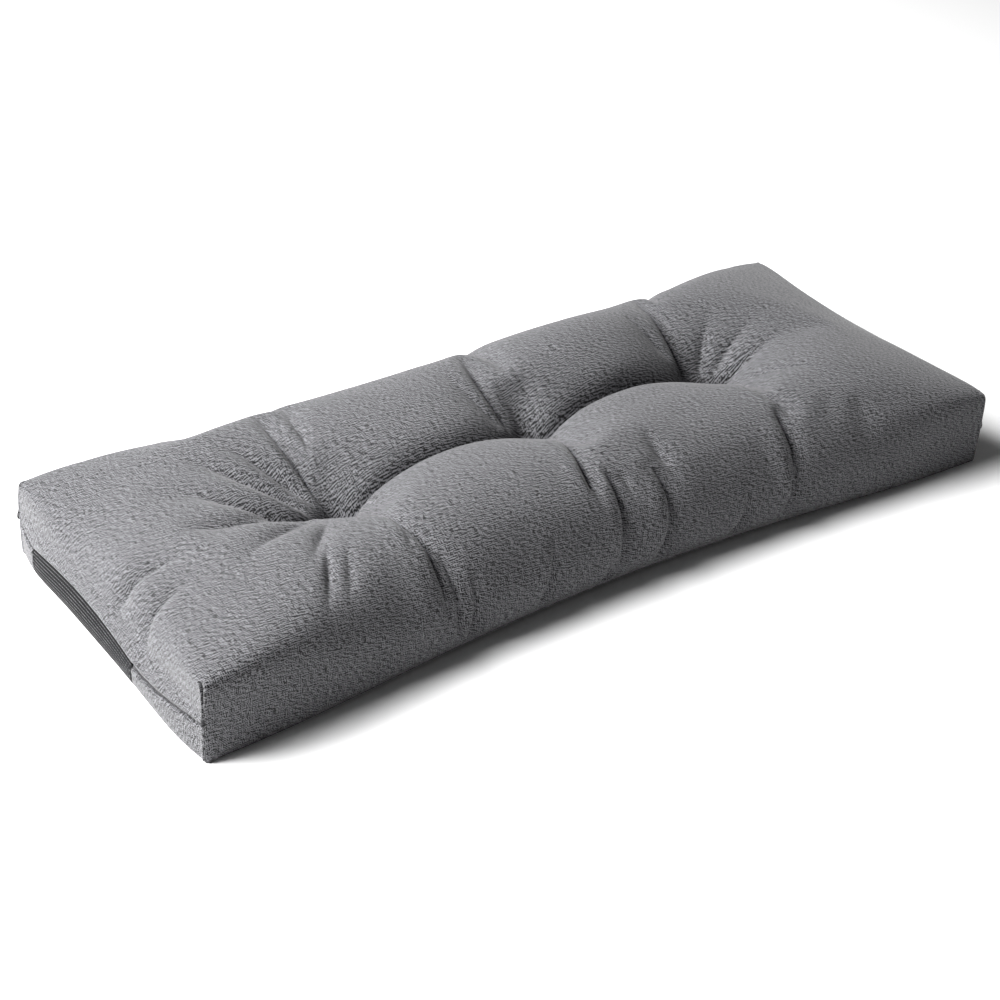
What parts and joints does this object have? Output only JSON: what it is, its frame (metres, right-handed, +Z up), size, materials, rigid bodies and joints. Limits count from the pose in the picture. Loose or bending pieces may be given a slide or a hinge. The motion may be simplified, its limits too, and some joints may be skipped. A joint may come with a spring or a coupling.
{
  "type": "bench cushion",
  "caption": "Long box bench cushion in heathered grey cloth, drawn down by blind tufts along its centre line, with a ribbed non-slip strip under it that turns up at both ends.",
  "frame": {"origin": "middle of the cushion's length and depth, on the surface it rests on", "axes": "+X along the length, +Y from the front long side to the back one, +Z up through the tufted top"},
  "size_m": [0.9236, 0.356, 0.1314],
  "materials": {
    "cover_cloth": "heathered grey linen-look weave, matte",
    "grip_cloth": "charcoal ribbed non-slip cloth with paler dashes, matte"
  },
  "bodies": {
    "root": {"cover": "cover_cloth", "grip_base": "grip_cloth"}
  },
  "joints": []
}
